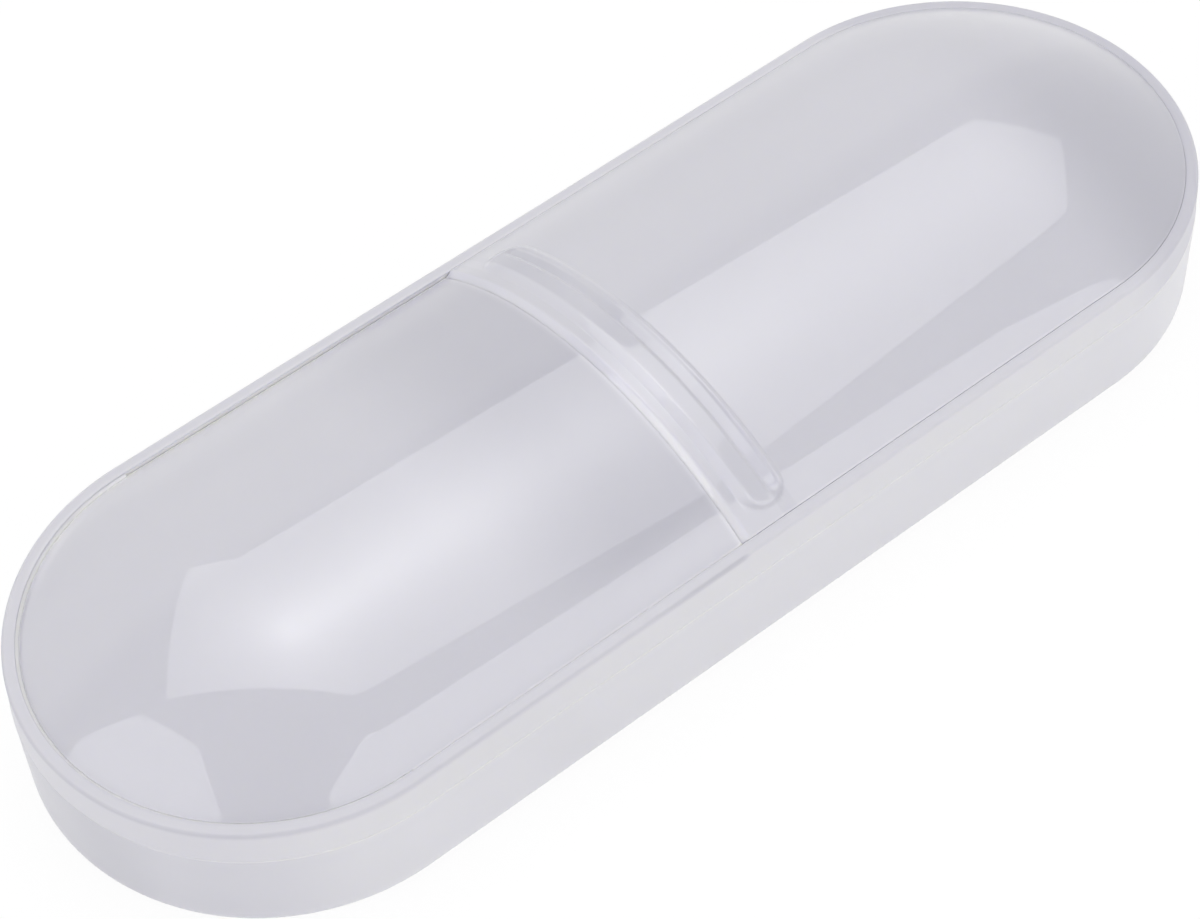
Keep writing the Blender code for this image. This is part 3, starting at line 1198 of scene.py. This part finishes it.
@dataclass(frozen=True)
class SoftBox:
    """A studio light that faces the case.

    Args:
        name: The light's name.
        azimuth: Its direction, clockwise from +Y, in degrees.
        elevation: Its height above the horizon, in degrees.
        width: Its width at a distance of one metre.
        height: Its height at a distance of one metre.
        radiance: How bright its face is, where 1 is white.
        shape: The shape of its front.
        roll: How far it is turned about its own axis, in degrees.
        distance: How far away it stands, in metres.
        shift: How far its middle lies right and up of the direction, at one metre.
        hot: Where its brightest place lies right and up of its middle, at one metre.
        hot_radiance: How bright that place is.
        fade: How far from there its glow falls to about a third, at one metre.
        taper: How much its sides close in downwards, for each metre of height.
    """

    name: str
    azimuth: float
    elevation: float
    width: float
    height: float
    radiance: float
    shape: BoxShape
    roll: float = 0.0
    distance: float = 3.0
    shift: Point = (0.0, 0.0)
    hot: Point = (0.0, 0.0)
    hot_radiance: float = 0.0
    fade: float = 0.5
    taper: float = 0.0

    def build(self) -> bpy.types.Object:
        """Build the light.

        Returns:
            The light's object.
        """
        lamp = bpy.data.lights.new(self.name, "AREA")
        lamp.shape = "RECTANGLE"
        lamp.size = self.width * self.distance
        lamp.size_y = self.height * self.distance
        lamp.energy = self.radiance * math.pi * lamp.size * lamp.size_y
        lamp.use_nodes = True
        self._front(lamp.node_tree)
        made = put_in_scene(self.name, lamp)
        turn, tilt = math.radians(self.azimuth), math.radians(self.elevation)
        towards = Vector((
            math.cos(tilt) * math.sin(turn), math.cos(tilt) * math.cos(turn), math.sin(tilt)
        ))
        side = Vector((math.cos(turn), -math.sin(turn), 0.0))
        upward = towards.cross(side)
        basis = Matrix((side, upward, towards)).transposed()
        spin = Matrix.Rotation(math.radians(self.roll), 3, "Z")
        middle = towards + side * self.shift[0] - upward * self.shift[1]
        made.matrix_world = Matrix.Translation(middle * self.distance) @ (basis @ spin).to_4x4()
        made.visible_camera = False
        return made

    def _front(self, tree: bpy.types.NodeTree) -> None:
        """Write the nodes that shape the light's front.

        Args:
            tree: The light's node tree.
        """
        pen = NodeWriter(tree)
        emission = tree.nodes["Emission"]
        place = pen.add("ShaderNodeNewGeometry").outputs["Parametric"]
        u, v, _ = pen.add("ShaderNodeSeparateXYZ", {0: place}).outputs
        right = pen.math("MULTIPLY", pen.math("SUBTRACT", u, 0.5), self.width)
        up = pen.math("MULTIPLY", pen.math("SUBTRACT", 0.5, v), self.height)
        if self.shape is BoxShape.OCTAGON:
            sides = [pen.math("ABSOLUTE", part) for part in (right, up)]
            corner = pen.math("ADD", *sides)
            strength = pen.math("LESS_THAN", corner, self.width * math.sqrt(0.5))
        else:
            off = [
                pen.math("POWER", pen.math("SUBTRACT", part, spot), 2.0)
                for part, spot in zip((right, up), self.hot)
            ]
            away = pen.math("SQRT", pen.math("ADD", *off))
            ratio = self.hot_radiance / self.radiance
            fall = pen.math("EXPONENT", pen.math("DIVIDE", away, -self.fade))
            glow = pen.math("MULTIPLY_ADD", fall, ratio - 1.0, 1.0)
            lean = pen.math("MULTIPLY", pen.math("SUBTRACT", self.height / 2, up), self.taper)
            side = pen.math("ADD", pen.math("ABSOLUTE", right), lean)
            edge = pen.math("LESS_THAN", side, self.width / 2)
            strength = pen.math("MULTIPLY", glow, edge)
        pen.feed(emission.inputs["Strength"], strength)


@dataclass(frozen=True)
class Viewpoint:
    """The camera's place, as an orbit about the middle of the case's base.

    Args:
        azimuth: Turn of the camera about the upright axis, in degrees.
        elevation: Its height above the horizon, in degrees.
        roll: Its roll, in degrees.
        distance: Its distance, in millimetres.
        across: Shift to its right, in millimetres.
        upwards: Shift along its upward axis, in millimetres.
        lens: Focal length for a sensor 36 mm wide.
    """

    azimuth: float = 36.806
    elevation: float = 50.304
    roll: float = -3.533
    distance: float = 535.13
    across: float = -5.112
    upwards: float = 2.136
    lens: float = 104.085

    def build(self) -> bpy.types.Object:
        """Build the camera and make it the scene's own.

        Returns:
            The camera's object.
        """
        turn, tilt, roll = (math.radians(v) for v in (self.azimuth, self.elevation, self.roll))
        back = Vector((
            -math.sin(turn) * math.cos(tilt), -math.cos(turn) * math.cos(tilt), math.sin(tilt)
        ))
        right = Vector((math.cos(turn), -math.sin(turn), 0.0))
        upward = back.cross(right)
        side = math.cos(roll) * right + math.sin(roll) * upward
        top = -math.sin(roll) * right + math.cos(roll) * upward
        place = (back * self.distance + side * self.across + top * self.upwards) * MM
        lens = bpy.data.cameras.new("viewpoint")
        lens.lens = self.lens
        lens.sensor_width = CAMERA_SENSOR
        lens.clip_start = 0.01
        lens.clip_end = 20.0
        camera = put_in_scene("viewpoint", lens)
        basis = Matrix((side, top, back)).transposed()
        camera.matrix_world = Matrix.Translation(place) @ basis.to_4x4()
        bpy.context.scene.camera = camera
        return camera


@dataclass
class Studio:
    """The plain floor, the surroundings and the lights.

    Args:
        floor_size: Half the floor's side, in metres.
        ambient: Brightness of the surroundings as a light, high up.
        horizon: Their brightness at the horizon.
        floor_shade: Share of the floor's look that comes from the light on it.
        floor_glow: Brightness of the rest of its look.
        floor_grey: How much light the floor throws back.
        sky_top: The sine of the height from which the surroundings stay equally bright.
        boxes: The studio lights.
    """

    floor_size: float = 3.0
    ambient: float = 0.45
    horizon: float = 1.0
    floor_shade: float = 0.1
    floor_glow: float = 1.02
    floor_grey: float = 0.9
    sky_top: float = 0.7
    boxes: tuple[SoftBox, ...] = (
        SoftBox(
            "overhead_light", 36.8, 65.0, 1.28, 0.77, 0.65, BoxShape.GLOW,
            roll=-4.0, shift=(0.056, 0.07), hot=(0.0, 0.05), hot_radiance=3.0, fade=0.2,
            taper=0.2,
        ),
        SoftBox("left_light", 276.5, 39.0, 0.89, 0.89, 0.95, BoxShape.OCTAGON, roll=22.5),
        SoftBox("right_light", 165.0, 39.5, 0.89, 0.89, 0.95, BoxShape.OCTAGON, roll=10.4),
    )

    def build(self) -> None:
        """Build the floor, the surroundings and the lights."""
        self._floor()
        self._surroundings()
        for box in self.boxes:
            box.build()

    @staticmethod
    def _seen(pen: NodeWriter) -> bpy.types.NodeSocket:
        """Tell the rays that show the background from the others.

        Args:
            pen: Writes the nodes.

        Returns:
            A socket that is 1 for camera, glossy and transmission rays.
        """
        path = pen.add("ShaderNodeLightPath")
        both = pen.math("MAXIMUM", path.outputs["Is Camera Ray"], path.outputs["Is Glossy Ray"])
        return pen.math("MAXIMUM", both, path.outputs["Is Transmission Ray"])

    def _floor(self) -> None:
        """Build the pale floor, which stays almost white and keeps the case's shadow."""
        half = self.floor_size
        mesh = bpy.data.meshes.new("floor")
        corners = [(-half, -half, 0), (half, -half, 0), (half, half, 0), (-half, half, 0)]
        mesh.from_pydata(corners, [], [(0, 1, 2, 3)])
        floor = put_in_scene("floor", mesh)
        material = bpy.data.materials.new("pale_floor")
        material.use_nodes = True
        tree = material.node_tree
        tree.nodes.remove(tree.nodes["Principled BSDF"])
        pen = NodeWriter(tree)
        cloth = pen.add("ShaderNodeBsdfDiffuse", {"Color": (*[self.floor_grey] * 3, 1.0)})
        white = pen.add("ShaderNodeEmission", {"Strength": self.floor_glow})
        mix = pen.add("ShaderNodeMixShader", {
            0: pen.math("MULTIPLY", self._seen(pen), 1.0 - self.floor_shade),
            1: cloth.outputs[0],
            2: white.outputs[0],
        })
        pen.feed(tree.nodes["Material Output"].inputs["Surface"], mix.outputs[0])
        mesh.materials.append(material)

    def _surroundings(self) -> None:
        """Build the world: white where it is seen, dim where it lights."""
        world = bpy.data.worlds.new("studio")
        bpy.context.scene.world = world
        world.use_nodes = True
        pen = NodeWriter(world.node_tree)
        background = world.node_tree.nodes["Background"]
        background.inputs["Color"].default_value = (1.0, 1.0, 1.0, 1.0)
        direction = pen.add("ShaderNodeTexCoord").outputs["Generated"]
        rise = pen.add("ShaderNodeSeparateXYZ", {0: direction}).outputs[2]
        dim = pen.remap(rise, 0.0, self.sky_top, self.horizon, self.ambient)
        strength = pen.remap(self._seen(pen), 0.0, 1.0, dim, 1.0)
        pen.feed(background.inputs["Strength"], strength)


def settle_view() -> None:
    """Show colours as they are."""
    bpy.context.scene.view_settings.view_transform = "Standard"


PALE = (0.705, 0.70, 0.765)
LEFT_END = at_x(-76.0, -98.0)
FAR_SIDE = at_y(22.0, 33.0)
NEAR_SIDE = at_y(4.0, -18.0)
# Painted light on the domes between their crown and the back.
PAINTED_LIGHT_BEHIND_CROWN = painted_zone(1.05, 1.04, at_y(1.0, 8.0), at_y(28.0, 16.0))


def tray_plastic() -> FrostedPlastic:
    """Mix the tray's plastic, lighter than the domes' partly as painted light, with painted shade
    at the left end and a painted highlight along its top edge.
    """
    # Its colour is lighter than the domes' plastic, partly as painted light on the walls.
    return FrostedPlastic(
        "tray_frost", (0.83, 0.825, 0.875), gloss=0.3, skin=0.5, clear=0.1, seed=0.1, painted_zones=(
            # Painted highlight along the tray's top edge at the parting line.
            painted_zone(1.12, 1.09, at_height(16.02, 16.14)),
            # Painted shade over the left end, deeper at its tip.
            painted_zone(0.88, 0.90, LEFT_END),
            painted_zone(0.88, 0.89, at_x(-98.5, -104.5)),
        ),
    )


def ring_plastic() -> FrostedPlastic:
    """Mix the ring's plastic, with painted shade on its rim, a painted shadow band at its left and
    painted light on its lip.

    Returns:
        The plastic.
    """
    # Gates of a band of painted shadow along the rim's inside, left of the seam.
    shadow_band = (at_height(21.2, 21.8), at_height(22.4, 22.25), at_x(-7.8, -9.5))
    # Its colour is lighter than the domes' plastic, partly as painted light on the walls.
    return FrostedPlastic(
        "ring_frost", (0.88, 0.873, 0.922), haze=0.6, gloss=0.45, skin=0.2, clear=0.1, seed=0.7,
        painted_zones=(
            # Painted shade over the rim's top.
            painted_zone(0.85, 0.86, at_height(21.6, 22.3)),
            # Painted shadow in the band left of the seam, deeper further left.
            painted_zone(0.93, 0.94, *shadow_band),
            painted_zone(0.90, 0.91, *shadow_band, at_x(-30.0, -12.0)),
            # Painted shade on the lip at the front, painted light on it at the back.
            painted_zone(0.97, 0.98, at_reach(35.7, 35.2), NEAR_SIDE),
            painted_zone(1.06, 1.05, at_reach(35.7, 35.2), FAR_SIDE),
            # Painted light on the lip's inner wall, against the shade of the crease.
            painted_zone(1.25, 1.22, at_reach(35.3, 35.05), at_height(22.3, 21.95)),
            # Painted shade on the rim at the left end, and over the whole ring at the right end.
            painted_zone(0.93, 0.94, LEFT_END, at_height(22.3, 21.9)),
            painted_zone(0.90, 0.92, at_x(67.0, 80.0)),
        ),
    )


def left_plastic() -> FrostedPlastic:
    """Mix the fixed dome's plastic, with painted light along its edge, beside the seam and behind
    its crown, and painted shade at its front near the seam.
    """
    return FrostedPlastic("left_frost", PALE, seed=1.3, painted_zones=(
        # Painted light along the dome's edge and over its foot at the back, against the shade of
        # the crease.
        painted_zone(1.36, 1.32, at_reach(34.2, 34.7)),
        painted_zone(1.28, 1.26, at_reach(31.8, 34.0), at_reach(34.8, 34.4), FAR_SIDE),
        # Painted shade on the front of the dome near the seam.
        painted_zone(0.86, 0.88, at_x(-44.0, -18.0), at_y(-32.0, -27.0)),
        # Painted light beside the seam, against the contact shadow of the sliding dome's front
        # edge.
        painted_zone(1.06, 1.05, at_x(-8.9, -8.1)),
        painted_zone(1.10, 1.09, at_x(-8.3, -7.8)),
        PAINTED_LIGHT_BEHIND_CROWN,
    ))


def right_plastic() -> FrostedPlastic:
    """Mix the sliding dome's plastic, with painted highlights and shade on its front edge and grip
    and painted shade at its right end.

    Returns:
        The plastic.
    """
    # Gates of the painted highlight on the front edge's slope.
    highlight_strip = at_x(-6.1, -6.6)
    # Gates of the painted highlight on the grip's ramp.
    highlight_ramp = (at_x(-5.0, -4.6), at_x(-2.9, -3.3), at_y(-32.6, -30.0))
    # Gates of the painted shade in the grip's pocket.
    shaded_hollow = (at_x(-3.1, -2.6), at_x(2.0, 1.5), at_y(30.6, 29.6))
    # Gates of the painted light on the pocket's floor.
    lit_oval = (at_x(-0.1, 0.3), at_x(2.9, 2.5), at_y(-14.0, -24.0), at_y(-32.2, -31.4))
    return FrostedPlastic("right_frost", PALE, seed=2.9, painted_zones=(
        PAINTED_LIGHT_BEHIND_CROWN,
        # Painted highlight on the front edge, stronger at the front.
        painted_zone(1.11, 1.12, highlight_strip),
        painted_zone(1.11, 1.13, highlight_strip, NEAR_SIDE),
        # Painted highlight on the grip's ramp, stronger at the front.
        painted_zone(1.04, 1.04, *highlight_ramp),
        painted_zone(1.10, 1.10, *highlight_ramp, NEAR_SIDE),
        # Painted shade in the pocket, towards the back and at the middle.
        painted_zone(0.96, 0.97, *shaded_hollow, at_y(-5.0, -3.0)),
        painted_zone(0.90, 0.92, *shaded_hollow, at_y(6.0, 24.0)),
        painted_zone(0.94, 0.95, at_x(-0.1, 0.4), at_x(3.0, 2.4), at_y(12.0, 4.0)),
        # Painted light on the pocket's floor at the front.
        painted_zone(1.10, 1.10, *lit_oval),
        # Painted light along the skirt's shoulder, against the shade of the crease.
        painted_zone(1.08, 1.07, at_reach(34.6, 34.9)),
        # Painted shade over the right end, deeper at its middle.
        painted_zone(0.93, 0.94, at_x(66.0, 84.0)),
        painted_zone(0.90, 0.91, at_x(62.0, 82.0), at_y(10.0, -12.0)),
    ))


def main() -> None:
    """Build the case, the studio and the camera."""
    logging.basicConfig(level=logging.INFO, format="%(name)s: %(message)s")
    outline = Outline()
    maker = ShellMaker(outline)
    for shell in (
        Tray(outline, maker, tray_plastic()),
        RimFrame(outline, maker, ring_plastic()),
        FixedCover(outline, maker, left_plastic()),
        SlidingCover(outline, maker, right_plastic()),
    ):
        piece = shell.build()
        log.info("%s: %d faces", piece.name, len(piece.data.polygons))
    Studio().build()
    Viewpoint().build()
    settle_view()


if __name__ == "__main__":
    main()
